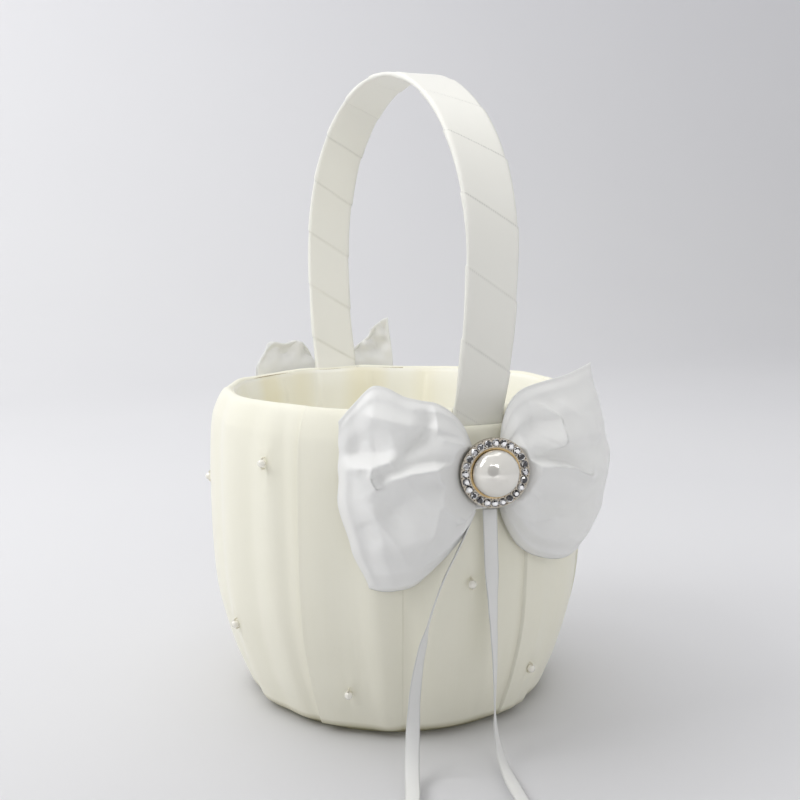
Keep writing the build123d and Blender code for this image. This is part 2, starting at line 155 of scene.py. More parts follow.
class Finish:
    """A material under construction."""

    def __init__(self, name, **constants):
        self.material = bpy.data.materials.new(name)
        self.material.use_nodes = True
        self.tree = self.material.node_tree
        self.shader = self.tree.nodes["Principled BSDF"]
        for socket, value in constants.items():
            self.shader.inputs[socket.replace("_", " ")].default_value = value

    def node(self, kind, settings=None, inputs=None, output=0):
        """Add a node: settings first, then the values or wires of its sockets."""
        made = self.tree.nodes.new(kind)
        for key, value in (settings or {}).items():
            if key == "ramp":
                while len(made.color_ramp.elements) < len(value):
                    made.color_ramp.elements.new(0.5)
                for element, (position, colour) in zip(made.color_ramp.elements, value):
                    element.position = position
                    element.color = colour
            else:
                setattr(made, key, value)
        for socket, value in (inputs or {}).items():
            self.join(value, made.inputs[socket])
        return Wire(self, made.outputs[output])

    def join(self, value, socket):
        """Link a wire to a socket, or set the socket's value."""
        if isinstance(value, Wire):
            self.tree.links.new(value.socket, socket)
        else:
            socket.default_value = value

    def set(self, name, value):
        self.join(value, self.shader.inputs[name])

    def mix(self, factor, first, second):
        """Colour between two colours."""
        return self.node("ShaderNodeMix", {"data_type": "RGBA"}, {0: factor, 6: first, 7: second}, 2)

    def coordinates(self, name="Object", scale=(1, 1, 1)):
        source = self.node("ShaderNodeTexCoord", output=name)
        return self.node("ShaderNodeMapping", None, {"Vector": source, "Scale": scale})

    def axis(self, name, index):
        """One number of a coordinate: 0 is X or U, 1 is Y or V, 2 is Z."""
        return self.node("ShaderNodeSeparateXYZ", None, {0: self.coordinates(name)}, index)

    def rise(self, value, low, high, least=0.0, smooth=False):
        """A wire that goes from least where the value is low to 1 where it is high."""
        settings = {"interpolation_type": "SMOOTHSTEP"} if smooth else None
        inputs = {"Value": value, "From Min": low, "From Max": high, "To Min": least}
        return self.node("ShaderNodeMapRange", settings, inputs)

    def noise(self, vector, scale, detail):
        inputs = {"Vector": vector, "Scale": scale, "Detail": detail, "Roughness": 0.5}
        return self.node("ShaderNodeTexNoise", None, inputs)

    def bump(self, height, distance):
        inputs = {"Height": height, "Distance": distance, "Strength": 1.0}
        self.set("Normal", self.node("ShaderNodeBump", None, inputs))


def rgb(red, green, blue):
    """A colour typed as 0 to 255 screen values, made linear."""
    def linear(value):
        value = value / 255
        return value / 12.92 if value < 0.04045 else ((value + 0.055) / 1.055) ** 2.4
    return (linear(red), linear(green), linear(blue), 1)


def speckled(name, first, second, scale, detail, relief=0.0, **constants):
    """A material of two close colours mixed by grains, which stand out by relief, in metres."""
    finish = Finish(name, **constants)
    grains = finish.noise(finish.coordinates("Object"), scale, detail)
    finish.set("Base Color", finish.mix(grains, first, second))
    if relief:
        finish.bump(grains, relief)
    return finish.material


# %% [markdown]
# ## Satin
# Satin's face is mostly long floating threads along one direction, so it gleams in soft streaks and
# hides its weave. On the UV map, noise drawn out along the threads gives those streaks, a finer one gives
# the thread relief, and a slow one shades the dye. A little sheen gives the pale edge of cloth.

# %% Satin materials
STREAK_CELL = (0.0006, 0.012)  # metres across and along the threads
THREAD_CELL = (0.00022, 0.0016)
FOOT_UNSHADED, FOOT_SHADED = 0.0058, 0.0026  # heights in metres between which the painted shade at the foot comes in
LOOP_SHADE = rgb(168, 168, 166)


def satin(
    name, colour, shade, roughness=0.42, size=(0.45, 0.15), painted_foot_shade=None, edges=None, painted_fold_shade=None
):
    """Satin on the piece's own UV map; size is the piece's length along U and V in metres.
    painted_foot_shade is the olive grey of a painted shade over its lowest few millimetres, where it rests
    on a surface.
    edges is the pitch of the small loops along a ribbon's two woven edges, which are painted a shade
    darker.
    painted_fold_shade is the deeper yellow of broad upright bands of painted shade, like the shade in a
    lining's folds."""
    finish = Finish(name, Sheen_Weight=0.25, Sheen_Roughness=0.4, Specular_IOR_Level=0.45)
    scale = (size[0] / STREAK_CELL[0], size[1] / STREAK_CELL[1], 1)
    streaks = finish.noise(finish.coordinates("UV", scale), 1.0, 2.0)
    scale = (size[0] / THREAD_CELL[0], size[1] / THREAD_CELL[1], 1)
    threads = finish.noise(finish.coordinates("UV", scale), 1.0, 1.0)
    slow = finish.noise(finish.coordinates("Object"), 38.0, 3.0)
    dyed = finish.mix(slow * 0.55 + streaks * 0.25, colour, shade)
    # Painted shade: the lowest few millimetres darken towards an olive grey where the piece meets the
    # floor.
    if painted_foot_shade:
        foot_shade_mask = finish.rise(finish.axis("Object", 2), FOOT_UNSHADED, FOOT_SHADED)
        dyed = finish.mix(foot_shade_mask * 0.8, dyed, painted_foot_shade)
    # Painted shade: broad upright bands of deeper yellow, placed at random, stand in for the shade in a
    # lining's folds.
    if painted_fold_shade:
        bands = finish.noise(finish.coordinates("UV", (24, 0.35, 1)), 1.0, 0.0)
        dyed = finish.mix(finish.rise(bands, 0.42, 0.70) * 0.65, dyed, painted_fold_shade)
    relief = streaks * 0.6 + threads * 0.4
    # Painted shade: the small loops along the two woven edges are painted grey.
    if edges:
        off_middle = finish.axis("UV", 1) - 0.5
        border = finish.rise(off_middle.math("ABSOLUTE", off_middle), 0.40, 0.46)
        loops = (finish.axis("UV", 0) * (size[0] / edges * math.tau)).sine() * 0.5 + 0.5
        dyed = finish.mix(border * loops * 0.6, dyed, LOOP_SHADE)
        relief = relief + border * loops * 2.0
    finish.set("Base Color", dyed)
    finish.set("Roughness", roughness - 0.04 + streaks * 0.10)
    finish.bump(relief, 0.00003)
    return finish.material


cover_satin = satin(
    "cover_satin", rgb(248, 246, 231), rgb(242, 239, 219), 0.46, painted_foot_shade=rgb(168, 161, 118)
)
lining_satin = satin(
    "lining_satin", rgb(253, 252, 243), rgb(250, 248, 234), 0.5, painted_fold_shade=rgb(246, 239, 208)
)
bow_satin = satin("bow_satin", rgb(244, 244, 242), rgb(236, 236, 233), 0.40, (0.12, 0.075))
tail_ribbon = satin(
    "tail_ribbon", rgb(242, 242, 240), rgb(232, 232, 229), 0.38, (0.13, 0.005), edges=0.0007
)
print("satins made")

# %% [markdown]
# ## Sheets from a grid
# Every cloth piece here starts as a flat grid with a UV map, the way it starts as flat cloth on a table.
# A function then says where each point of the cloth ends up. A piece that closes on itself has its
# meeting edges merged, and Solidify gives the cloth its thickness.

# %% Grid helper
def cloth(name, across, along, place, material, thickness=0.0003, closed=False, offset=0.0):
    """A sheet of across by along cells, each point moved to place(u, v)."""
    bm = bmesh.new()
    unwrap = bm.loops.layers.uv.new("UVMap")
    bmesh.ops.create_grid(bm, x_segments=across, y_segments=along, size=0.5)
    for face in bm.faces:
        for corner in face.loops:
            corner[unwrap].uv = (corner.vert.co.x + 0.5, corner.vert.co.y + 0.5)
    for vertex in bm.verts:
        vertex.co = place(vertex.co.x + 0.5, vertex.co.y + 0.5)
    if closed:
        bmesh.ops.remove_doubles(bm, verts=bm.verts, dist=1e-6)
    for face in bm.faces:
        face.smooth = True
    mesh = bpy.data.meshes.new(name)
    bm.to_mesh(mesh)
    bm.free()
    piece = add_object(name, mesh)
    mesh.materials.append(material)
    if thickness:
        solid = piece.modifiers.new("thickness", "SOLIDIFY")
        solid.thickness = thickness
        solid.offset = offset
    return piece


def smooth_step(low, high, value):
    """0 below low, 1 above high, and an S curve between them."""
    t = min(1.0, max(0.0, (value - low) / (high - low)))
    return t * t * (3 - 2 * t)


def curve_through(points, value):
    """Smooth interpolation of (position, level) pairs."""
    if value <= points[0][0]:
        return points[0][1]
    for (a, low), (b, high) in zip(points, points[1:]):
        if value <= b:
            return low + (high - low) * smooth_step(a, b, value)
    return points[-1][1]


def outward_at(degrees):
    """The level direction that points away from the basket's axis at an angle from +X."""
    return Vector((math.cos(math.radians(degrees)), math.sin(math.radians(degrees)), 0))


# %% [markdown]
# ## Ribbon tails
# The brooch hides the knot of a 5 mm ribbon, and its two ends hang down the front, touch the table and
# run forward. Each follows a smooth line that a few points control, on or close to the route of the
# model's round stand-in. The flat ribbon turns about that line, edge-on where it twists.

# %% Ribbon tails
TAIL_WIDTH = 0.005
TAIL_THICKNESS = 0.00022
TAIL_CUP = 0.00035  # how far the ribbon's middle stands off its edges
LEFT_TAIL_ROUTE = [  # metres
    (-0.0062, -0.0797, 0.0910), (-0.0108, -0.0799, 0.0810), (-0.0192, -0.0796, 0.0665),
    (-0.0242, -0.0784, 0.0500), (-0.0286, -0.0790, 0.0320), (-0.0302, -0.0802, 0.0134),
    (-0.0346, -0.0890, 0.0030), (-0.0410, -0.1040, 0.0026), (-0.0500, -0.1160, 0.0026),
]
RIGHT_TAIL_ROUTE = [
    (-0.0004, -0.0798, 0.0910), (0.0012, -0.0796, 0.0600), (0.0026, -0.0804, 0.0310),
    (0.0020, -0.0806, 0.0130), (-0.0006, -0.0902, 0.0032), (-0.0056, -0.1070, 0.0026),
    (-0.0086, -0.1210, 0.0026), (-0.0150, -0.1340, 0.0026),
]
LEFT_TURNS = [  # share of the length, angle in degrees
    (0, -62), (0.2, -60), (0.335, -54), (0.41, -29), (0.55, -11), (0.66, 14), (0.8, 10), (1, 3),
]
RIGHT_TURNS = [
    (0, 24), (0.14, 20), (0.26, -20), (0.33, -32), (0.42, -42), (0.5, -52), (0.54, -58), (0.6, -48),
    (0.69, -30), (0.8, -10), (1, 0),
]


def route_points(name, route):
    """Points along the smooth line that a route controls."""
    data = bpy.data.curves.new(name, "CURVE")
    data.dimensions = "3D"
    data.resolution_u = 24
    spline = data.splines.new("NURBS")
    spline.points.add(len(route) - 1)
    for point, place in zip(spline.points, route):
        point.co = (*place, 1)
    spline.order_u = 3
    spline.use_endpoint_u = True
    holder = add_object(name, data)
    bpy.context.view_layer.update()
    line = bpy.data.meshes.new_from_object(holder)
    points = [vertex.co.copy() for vertex in line.vertices]
    bpy.data.objects.remove(holder)
    return points


def ribbon_tail(name, route, turns):
    """A flat ribbon along a route, turned about it by angles in degrees at shares of its length."""
    points = route_points(name + "_line", route)
    lengths = [0.0]
    for before, after in zip(points, points[1:]):
        lengths.append(lengths[-1] + (after - before).length)
    total = lengths[-1]

    def place(u, v):
        distance = u * total
        index = max(i for i, passed in enumerate(lengths[:-1]) if passed <= distance + 1e-9)
        share = (distance - lengths[index]) / (lengths[index + 1] - lengths[index])
        centre = points[index].lerp(points[index + 1], share)
        tangent = (points[index + 1] - points[index]).normalized()
        side = Vector((1, 0, 0))
        side = (side - tangent * side.dot(tangent)).normalized()
        facing = tangent.cross(side)
        angle = math.radians(curve_through(turns, u))
        width = side * math.cos(angle) + facing * math.sin(angle)
        normal = tangent.cross(width)
        cup = TAIL_CUP * (1 - (2 * v - 1) ** 2)
        return centre + width * (v - 0.5) * TAIL_WIDTH + normal * cup

    piece = cloth(name, 200, 10, place, tail_ribbon, TAIL_THICKNESS)
    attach(piece, "root")
    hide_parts(name.replace("_ribbon", ""))
    tuple(points[0])
    print(name, "is", round(total * 1000, 1), "mm long")


ribbon_tail("left_tail_ribbon", LEFT_TAIL_ROUTE, LEFT_TURNS)
ribbon_tail("right_tail_ribbon", RIGHT_TAIL_ROUTE, RIGHT_TURNS)

# %% [markdown]
# ## Pleated cover
# The cover is one length of satin wrapped round the padded pail, folded over the rim and gathered under
# the foot. It is tacked down in knife pleats: a fold stands proud on one side of its edge and drops
# sharply on the other. Two columns of the cloth meet at each edge, so that the crease stays crisp while
# it leans. Softer rolls lie between the pleats, and each sewn pearl pulls the cloth in. Where the handle
# comes out, the cloth is cut: there its rows turn down behind the strip and up again inside it.

# %% Cover shape
BODY_HEIGHT = 125.0
BARREL = [  # radius and height in mm, share of the pleats' depth
    (54.0, 2.45, 0.3), (58.5, 2.35, 0.4), (60.8, 2.7, 0.6), (62.2, 4.2, 0.8), (64.5, 10.0, 1.0),
    (68.4, 20.6, 1.0), (73.7, 41.2, 1.0), (75.6, 62.5, 1.0), (76.0, 85.0, 1.0), (75.7, 103.0, 1.0),
    (74.9, 113.0, 0.95), (73.9, 117.0, 0.85), (72.6, 120.5, 0.7), (71.3, 123.2, 0.5), (70.2, 124.6, 0.4),
    (69.2, 125.1, 0.3), (68.4, 125.1, 0.25), (67.6, 124.7, 0.2), (67.05, 124.0, 0.15), (67.2, 123.0, 0.1),
]
NOTCH = [  # the last ten rows where the handle comes out
    (74.9, 112.5, 0.6), (74.2, 116.4, 0.3), (73.5, 118.4, 0.1), (72.5, 119.1, 0.0), (71.3, 118.7, 0.0),
    (70.9, 116.5, 0.0), (69.0, 116.5, 0.0), (69.0, 123.6, 0.0), (68.1, 124.9, 0.0), (67.2, 123.0, 0.0),
]
NOTCH_HALF_WIDTH = 10.2
NOTCH_RADIUS = 71.0  # where the cut meets the rim
PLEAT_RADIUS = 74.0  # turns a pleat's angle into a distance along the cloth
PEARL_RADIUS = 75.0  # the same for the pearls
CREASE_GAP = 0.06  # degrees from a knife edge to the two columns beside it
CUT_GAP = 0.15  # degrees between the two columns along the cut
CREASE_PULL = 6.0  # degrees round a pleat within which the cloth leans with it
CLOTH_REST = -0.55  # mm from the barrel to the cloth between the folds
# Knife pleats: direction at the rim and at the foot in degrees, depth in mm, raised side, soft width in mm
KNIFE_PLEATS = [
    (-141.7, -141.0, 1.5, 1, 12), (-112.8, -112.6, 0.25, -1, 6),
    (-76.6, -75.0, 0.9, 1, 9), (-58.0, -62.5, 1.7, -1, 11), (-31.0, -28.0, 1.3, 1, 12),
    (-6.0, -10.0, 1.5, -1, 12), (18.0, 21.0, 1.2, 1, 11), (40.0, 36.0, 1.5, -1, 12),
    (63.0, 66.0, 1.2, 1, 12), (81.0, 79.0, 0.9, -1, 10), (112.0, 115.0, 1.5, 1, 12),
    (138.0, 134.0, 1.4, -1, 12), (162.0, 165.0, 1.2, 1, 12),
]
# Soft rolls: direction at the rim and at the foot in degrees, height in mm, width in mm
SOFT_ROLLS = [
    (-172.0, -170.0, 0.9, 7), (-183.0, -180.0, -1.0, 6), (-161.0, -158.0, -0.7, 5),
    (-153.5, -149.0, 0.5, 4), (-148.0, -144.5, -0.55, 3),
    (-131.0, -129.0, -0.5, 7), (-124.0, -117.0, 1.5, 5), (-111.5, -111.0, -1.1, 4), (-98.0, -97.0, 0.6, 8),
    (-85.0, -84.0, -0.7, 5), (-67.0, -68.0, 0.7, 6), (-52.0, -55.0, -1.1, 5), (-44.0, -43.0, 0.7, 7),
    (-18.0, -17.0, 0.8, 8), (4.0, 3.0, -0.8, 6), (30.0, 28.0, 0.8, 7), (52.0, 50.0, -0.9, 6),
    (73.0, 74.0, 0.8, 8), (98.0, 99.0, -0.8, 6), (125.0, 125.0, 0.8, 8), (150.0, 150.0, -0.9, 7),
]
PEARLS = [  # direction in degrees and share of the height
    (-152.9, 0.834), (-171.5, 0.295), (-128.8, 0.162), (-94.1, 0.507), (-67.5, 0.177), (-38.0, 0.660),
    (-12.0, 0.280), (22.0, 0.800), (58.0, 0.220), (93.0, 0.520), (128.0, 0.190), (160.0, 0.700),
]


def along_rows(rows, v):
    """Smooth interpolation of a list of triples at a share v of the way."""
    position = v * (len(rows) - 1)
    i = min(len(rows) - 2, int(position))
    t = position - i
    ends = [rows[max(0, i - 1)], rows[i], rows[i + 1], rows[min(len(rows) - 1, i + 2)]]
    out = []
    for axis in range(len(rows[0])):
        a, b, c, d = (end[axis] for end in ends)
        curve = (c - a) * t + (2 * a - 5 * b + 4 * c - d) * t * t + (3 * b - a - 3 * c + d) * t ** 3
        out.append(b + 0.5 * curve)
    return out


def turn_between(angle, other):
    """Signed difference of two directions in degrees."""
    return (angle - other + 180) % 360 - 180


def lean(angle, share_down):
    """How far the cloth's column at a direction leans by a height, so that creases keep to columns."""
    total = weight = 0.0
    for top, foot, *_ in KNIFE_PLEATS:
        closeness = math.exp(-(turn_between(angle, top) / CREASE_PULL) ** 2)
        total += closeness * turn_between(foot, top)
        weight += closeness
    return total / (weight + 0.15) * share_down


def pleat_offset(angle, share_down):
    """How far the cloth stands from the smooth barrel, in mm."""
    offset = CLOTH_REST
    for top, foot, depth, raised, width in KNIFE_PLEATS:
        s = raised * math.radians(turn_between(angle, top)) * PLEAT_RADIUS
        if s >= 0:
            offset += depth * (math.exp(-s / width) + 0.18 * math.exp(-s / 0.9))
        else:
            offset -= 0.35 * depth * math.exp(s / 4)
    for top, foot, height, width in SOFT_ROLLS:
        middle = top + turn_between(foot, top) * share_down
        s = math.radians(turn_between(angle, middle)) * PLEAT_RADIUS
        if abs(s) < 3 * width:
            offset += height * math.exp(-(s / width) ** 2)
    return offset


def pearl_tuck(angle, height, offset):
    """The offset near a sewn pearl: drawn in under it, with small puckers round it."""
    for direction, share in PEARLS:
        across = math.radians(turn_between(angle, direction)) * PEARL_RADIUS
        up = height - share * BODY_HEIGHT
        distance = math.hypot(across, up)
        if distance < 12:
            hold = math.exp(-(distance / 2.4) ** 2)
            offset = offset * (1 - hold) + 0.15 * hold
            pucker = math.exp(-((distance - 4.0) / 2.6) ** 2)
            offset += 0.30 * pucker * (0.6 + math.cos(5 * math.atan2(up, across)))
    return offset


def column_table(count):
    """Directions in degrees of the cloth's columns, with a close pair at each knife pleat."""
    pairs = [(top - CREASE_GAP + 360) % 360 for top, *_ in KNIFE_PLEATS]
    pairs += [(top + CREASE_GAP + 360) % 360 for top, *_ in KNIFE_PLEATS]
    for middle in (90, 270):
        for side in (-1, 1):
            edge = math.degrees(math.asin(NOTCH_HALF_WIDTH / NOTCH_RADIUS))
            pairs += [middle + side * edge, middle + side * (edge + CUT_GAP)]
    even = [i * 360 / (count - len(pairs)) for i in range(count - len(pairs))]
    return sorted(pairs + even) + [360.0]


COLUMNS = column_table(480)
print("cloth columns", len(COLUMNS) - 1)


def rim_wave(around):
    """How far the rim rises or dips in a direction, in mm."""
    return noise.noise(Vector((around.x * 3.1, around.y * 3.1, 4.7))) * 0.9


def cover_place(u, v):
    column = COLUMNS[round(u * (len(COLUMNS) - 1))]
    radius, height, share = along_rows(BARREL, v)
    from_handle = abs(math.sin(math.radians(turn_between(column, -90)))) * NOTCH_RADIUS
    front_or_back = abs(math.sin(math.radians(column))) > 0.9
    split = (len(BARREL) - len(NOTCH)) / (len(BARREL) - 1)
    if front_or_back and from_handle < NOTCH_HALF_WIDTH + 0.05 and v > split:
        radius, height, share = along_rows(NOTCH, (v - split) / (1 - split))
    share_down = 1 - min(1.0, max(0.0, height / BODY_HEIGHT))
    angle = column + lean(column, share_down)
    offset = pearl_tuck(angle, height, pleat_offset(column, share_down))
    around = outward_at(angle)
    ripple = noise.noise(Vector((around.x * 5, around.y * 5, height * 0.014))) * 0.35
    wave = rim_wave(around) * smooth_step(112, 124, height)
    reach = radius + (offset + ripple) * share
    return (around * reach + Vector((0, 0, height + wave))) * MM


cover = cloth("cover", 480, 100, cover_place, cover_satin, 0.0004, closed=True, offset=-1)
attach(cover, "root")
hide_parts("satin_cover")
print("cover", len(cover.data.polygons), "faces")

# %% [markdown]
# ## Padding
# Under the cover the pail is wrapped in polyester wadding. It is never seen, so its form is the barrel
# pulled in under the cloth, with the slight lumps of loose fibre.

# %% Padding
PADDING_ROWS = [  # radius and height in mm, up the outside and down the inside
    (59.6, 3.3), (60.0, 4.6), (62.0, 10.0), (66.0, 20.6), (71.2, 41.2), (73.1, 62.5), (73.5, 85.0),
    (73.2, 103.0), (72.4, 112.0), (71.4, 114.6), (69.9, 115.2), (69.3, 114.6), (68.6, 108.0),
    (66.0, 80.0), (63.0, 50.0), (60.3, 15.0), (59.5, 5.0), (59.6, 3.3),
]


def padding_place(u, v):
    around = outward_at(u * 360)
    radius, height = along_rows(PADDING_ROWS, v)
    lumps = noise.noise(around * 6 + Vector((0, 0, height * 0.05))) * 0.3
    return (around * (radius + lumps) + Vector((0, 0, height))) * MM


wadding_fibre = speckled(
    "wadding_fibre", rgb(232, 231, 226), rgb(246, 246, 243), 900.0, 4.0, 0.0006,
    Roughness=0.95, Sheen_Weight=0.3,
)
padding = cloth("padding", 120, 60, padding_place, wadding_fibre, 0, closed=True)
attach(padding, "root")
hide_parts("side_wadding")
print("padding", len(padding.data.polygons), "faces")

# %% [markdown]
# ## Lining and floor
# The lining is a loose satin sleeve inside the pail. It is pleated too, in flat folds that lean over and
# cast soft triangular shadows, and its top is sewn to the cover just under the rim's inner edge. The
# floor is a covered disc dropped in last, so its satin bulges a little over the card.

# %% Lining and floor
LINING_FOLDS = [  # direction at the top and at the floor in degrees, depth in mm, width in mm, raised side
    (118, 108, 1.3, 12, 1), (141, 148, 1.0, 9, -1), (98, 101, 1.5, 9, -1), (78, 70, 1.0, 12, 1),
    (52, 55, 1.1, 12, -1), (25, 20, 0.9, 12, 1), (168, 163, 1.1, 11, 1), (-165, -160, 1.0, 12, -1),
    (-135, -140, 1.1, 12, 1), (-105, -102, 1.0, 12, -1), (-75, -80, 1.1, 12, 1), (-45, -41, 1.0, 12, -1),
    (-12, -16, 1.1, 12, 1),
]
LINING_FLOOR, LINING_TOP = 6.2, 124.2  # heights in mm
LINING_RADIUS, LINING_FLARE = 56.1, 10.5  # at the floor, and what the top adds, in mm
LINING_MIDDLE = 63.0  # turns a fold's angle into a distance along the cloth


def lining_place(u, v):
    column = u * 360
    height = LINING_FLOOR + (LINING_TOP - LINING_FLOOR) * v
    radius = LINING_RADIUS + LINING_FLARE * v + 0.42 * smooth_step(0.965, 1.0, v)
    offset = 0.25
    for top, foot, depth, width, raised in LINING_FOLDS:
        middle = foot + turn_between(top, foot) * v
        s = raised * math.radians(turn_between(column, middle)) * LINING_MIDDLE
        offset += depth * math.exp(-s / width) if s >= 0 else depth * math.exp(-(s / 1.3) ** 2)
    offset *= 1 - 0.9 * smooth_step(0.93, 1.0, v)
    around = outward_at(column)
    wave = rim_wave(around) * smooth_step(0.9, 1.0, v)
    crinkle = noise.noise(around * 7 + Vector((0, 0, height * 0.02))) * 0.3
    crinkle *= smooth_step(0.98, 0.88, v)
    return (around * (radius - offset - crinkle) + Vector((0, 0, height + wave))) * MM


lining = cloth("lining", 480, 60, lining_place, lining_satin, 0.0004, closed=True, offset=0)
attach(lining, "root")
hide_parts("satin_lining")


def covered_disc(name, rows, material, ripples):
    """A satin-covered disc: rows of radius and height in mm from the middle of one face to the other."""
    def place(u, v):
        around = outward_at(u * 360)
        radius, height = along_rows(rows, v)
        ripple = ripples * noise.noise(around * 4 + Vector((0, 0, radius * 0.1))) * min(1, radius / 30)
        return (around * max(0.0, radius) + Vector((0, 0, height + ripple))) * MM
    return cloth(name, 96, 48, place, material, 0, closed=True)


floor_rows = [
    (0, 7.3), (15, 7.3), (30, 7.2), (45, 7.1), (53, 7.0), (55.4, 6.7), (56.0, 6.1), (55.7, 5.4),
    (54.5, 5.05), (40, 5.05), (20, 5.05), (0, 5.05),
]
floor_disc = covered_disc("floor_disc", floor_rows, lining_satin, 0.12)
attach(floor_disc, "root")
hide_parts("floor_satin", "floor_card")

foot_rows = [
    (0, 2.15), (20, 2.15), (40, 2.15), (55.5, 2.15), (57.2, 1.9), (57.5, 1.1), (57.0, 0.3),
    (55.5, 0.02), (45, 0.0), (25, 0.0), (10, 0.0), (0, 0.0),
]
foot_disc = covered_disc("foot_disc", foot_rows, cover_satin, 0.0)
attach(foot_disc, "root")
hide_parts("foot_satin", "foot_card")
print("lining", len(lining.data.polygons), "faces, discs", len(floor_disc.data.polygons), "each")

# %% [markdown]
# ## Handle
# The handle is a card strip wound on the slant with wide satin ribbon. Each turn laps over the last, so
# the wound surface steps down along slanting lines, and the ribbon's woven edge shows there as a fine
# line with a painted shadow along it. The strip's own line is a straight foot along the pail, an arc,
# and half an ellipse over the top.

# %% Handle ribbon
STRIP_WIDTH = 19.7
STRIP_THICKNESS = 1.4
TURN_PITCH = 25.0
TURN_START = 0.51  # share of a turn by which the winding has begun at the front foot
TURN_LIFT = 0.42  # how far a turn's leading edge stands on the last one
PICOT_PITCH = 0.8  # of the small loops along the ribbon's woven edge
FOOT_STEPS, SIDE_STEPS, CROWN_STEPS = 18, 24, 90


def strip_line():
    """Points (y, z) in mm along the middle of the strip, front foot to rear foot."""
    rim_y, rim_z, foot_y, foot_z = 69.95, 124.2, 66.92, 88.2
    wide_y, wide_z, crown_rise = 78.7, 177.4, 70.1
    spread = wide_y - rim_y
    drop = wide_z - rim_z
    arc_radius = (spread ** 2 + drop ** 2) / (2 * spread)
    start = math.asin(drop / arc_radius)
    side = []
    for t in range(FOOT_STEPS):
        share = t / FOOT_STEPS
        side.append((foot_y + (rim_y - foot_y) * share, foot_z + (rim_z - foot_z) * share))
    for t in range(1, SIDE_STEPS + 1):
        angle = start * (1 - t / SIDE_STEPS)
        side.append((wide_y - arc_radius * (1 - math.cos(angle)), wide_z - arc_radius * math.sin(angle)))
    front = [(-y, z) for y, z in side]
    top = []
    for t in range(1, CROWN_STEPS):
        angle = math.pi * t / CROWN_STEPS
        top.append((-wide_y * math.cos(angle), wide_z + crown_rise * math.sin(angle)))
    return front + top + side[::-1]


STRIP = strip_line()
STRIP_LENGTHS = [0.0]
for before, after in zip(STRIP, STRIP[1:]):
    STRIP_LENGTHS.append(STRIP_LENGTHS[-1] + math.dist(before, after))
STRIP_TOTAL = STRIP_LENGTHS[-1]
STRIP_FACE = STRIP_WIDTH - STRIP_THICKNESS
STRIP_ROUND = 2 * STRIP_FACE + math.pi * STRIP_THICKNESS
print("strip", round(STRIP_TOTAL), "mm long,", round(STRIP_ROUND, 1), "mm round")


def strip_place(u, v):
    """A point of the wound ribbon: u runs along the strip, v round it from the outer face."""
    distance = u * STRIP_TOTAL
    index = max(i for i, passed in enumerate(STRIP_LENGTHS[:-1]) if passed <= distance + 1e-9)
    (y0, z0), (y1, z1) = STRIP[index], STRIP[index + 1]
    length = STRIP_LENGTHS[index + 1] - STRIP_LENGTHS[index]
    t = (distance - STRIP_LENGTHS[index]) / length
    along = Vector((0, (y1 - y0) / length, (z1 - z0) / length))
    outward = Vector((0, -along.z, along.y))
    centre = Vector((0, y0 + (y1 - y0) * t, z0 + (z1 - z0) * t))
    half = STRIP_THICKNESS / 2
    q = v * STRIP_ROUND
    bend = math.pi * half
    if q < STRIP_FACE:
        x, n, normal = q - STRIP_FACE / 2, half, (0, 1)
    elif q < STRIP_FACE + bend:
        a = (q - STRIP_FACE) / half
        normal = (math.sin(a), math.cos(a))
        x, n = STRIP_FACE / 2 + half * normal[0], half * normal[1]
    elif q < 2 * STRIP_FACE + bend:
        x, n, normal = STRIP_FACE / 2 - (q - STRIP_FACE - bend), -half, (0, -1)
    else:
        a = (q - 2 * STRIP_FACE - bend) / half
        normal = (-math.sin(a), -math.cos(a))
        x, n = half * normal[0] - STRIP_FACE / 2, half * normal[1]
    phase = (distance / TURN_PITCH + v + TURN_START) % 1.0
    lift = TURN_LIFT * phase * smooth_step(1.0, 0.98, phase)
    lift += 0.3 * noise.noise(Vector((0.4, centre.y * 0.045, centre.z * 0.045 + x * 0.03)))
    x += normal[0] * lift
    n += normal[1] * lift
    return (centre + Vector((x, 0, 0)) + outward * n) * MM


ribbon_finish = Finish("handle_ribbon_satin", Sheen_Weight=0.2, Specular_IOR_Level=0.5)
round_strip = ribbon_finish.axis("UV", 1)
turns = ribbon_finish.axis("UV", 0) * (STRIP_TOTAL / TURN_PITCH) + round_strip + TURN_START
phase = turns.fraction()
# The turns and the painted shadow along their edges read on the crown's outer face, and fade on the inner
# face and towards the feet.
high_up = ribbon_finish.rise(ribbon_finish.axis("Object", 2), 0.17, 0.215, least=0.3)
inner_face = ribbon_finish.rise(round_strip, 0.48, 0.52)
lap_edge_shadow = ribbon_finish.rise(phase, 0.955, 0.985, smooth=True) * high_up * (inner_face * -0.65 + 1.0)
picot = (round_strip * (STRIP_ROUND / PICOT_PITCH * math.tau)).sine() * 0.5 + 0.5
threads = ribbon_finish.noise(ribbon_finish.coordinates("UV", (60, 700, 1)), 1.0, 2.0)
slow_shade = ribbon_finish.noise(ribbon_finish.coordinates("Object"), 30.0, 2.0)
body = ribbon_finish.mix(slow_shade * 0.5 + threads * 0.3, rgb(245, 244, 237), rgb(238, 237, 228))
# Painted shadow: a grey line, dotted by the picot, darkens the step where each turn laps over the last.
body_with_lap_shadow = ribbon_finish.mix(lap_edge_shadow * (picot * 0.5 + 0.1), body, rgb(160, 159, 151))
ribbon_finish.set("Base Color", body_with_lap_shadow)
ribbon_finish.set("Roughness", 0.34 + threads * 0.12)
ribbon_finish.bump(threads * 0.25 + lap_edge_shadow * picot * 1.4 + phase * high_up * 1.3, 0.00016)
handle_ribbon = cloth(
    "handle_ribbon", 620, 56, strip_place, ribbon_finish.material, 0.00015, closed=True, offset=-1
)
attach(handle_ribbon, "root")
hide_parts("handle_wrap", "handle_core")

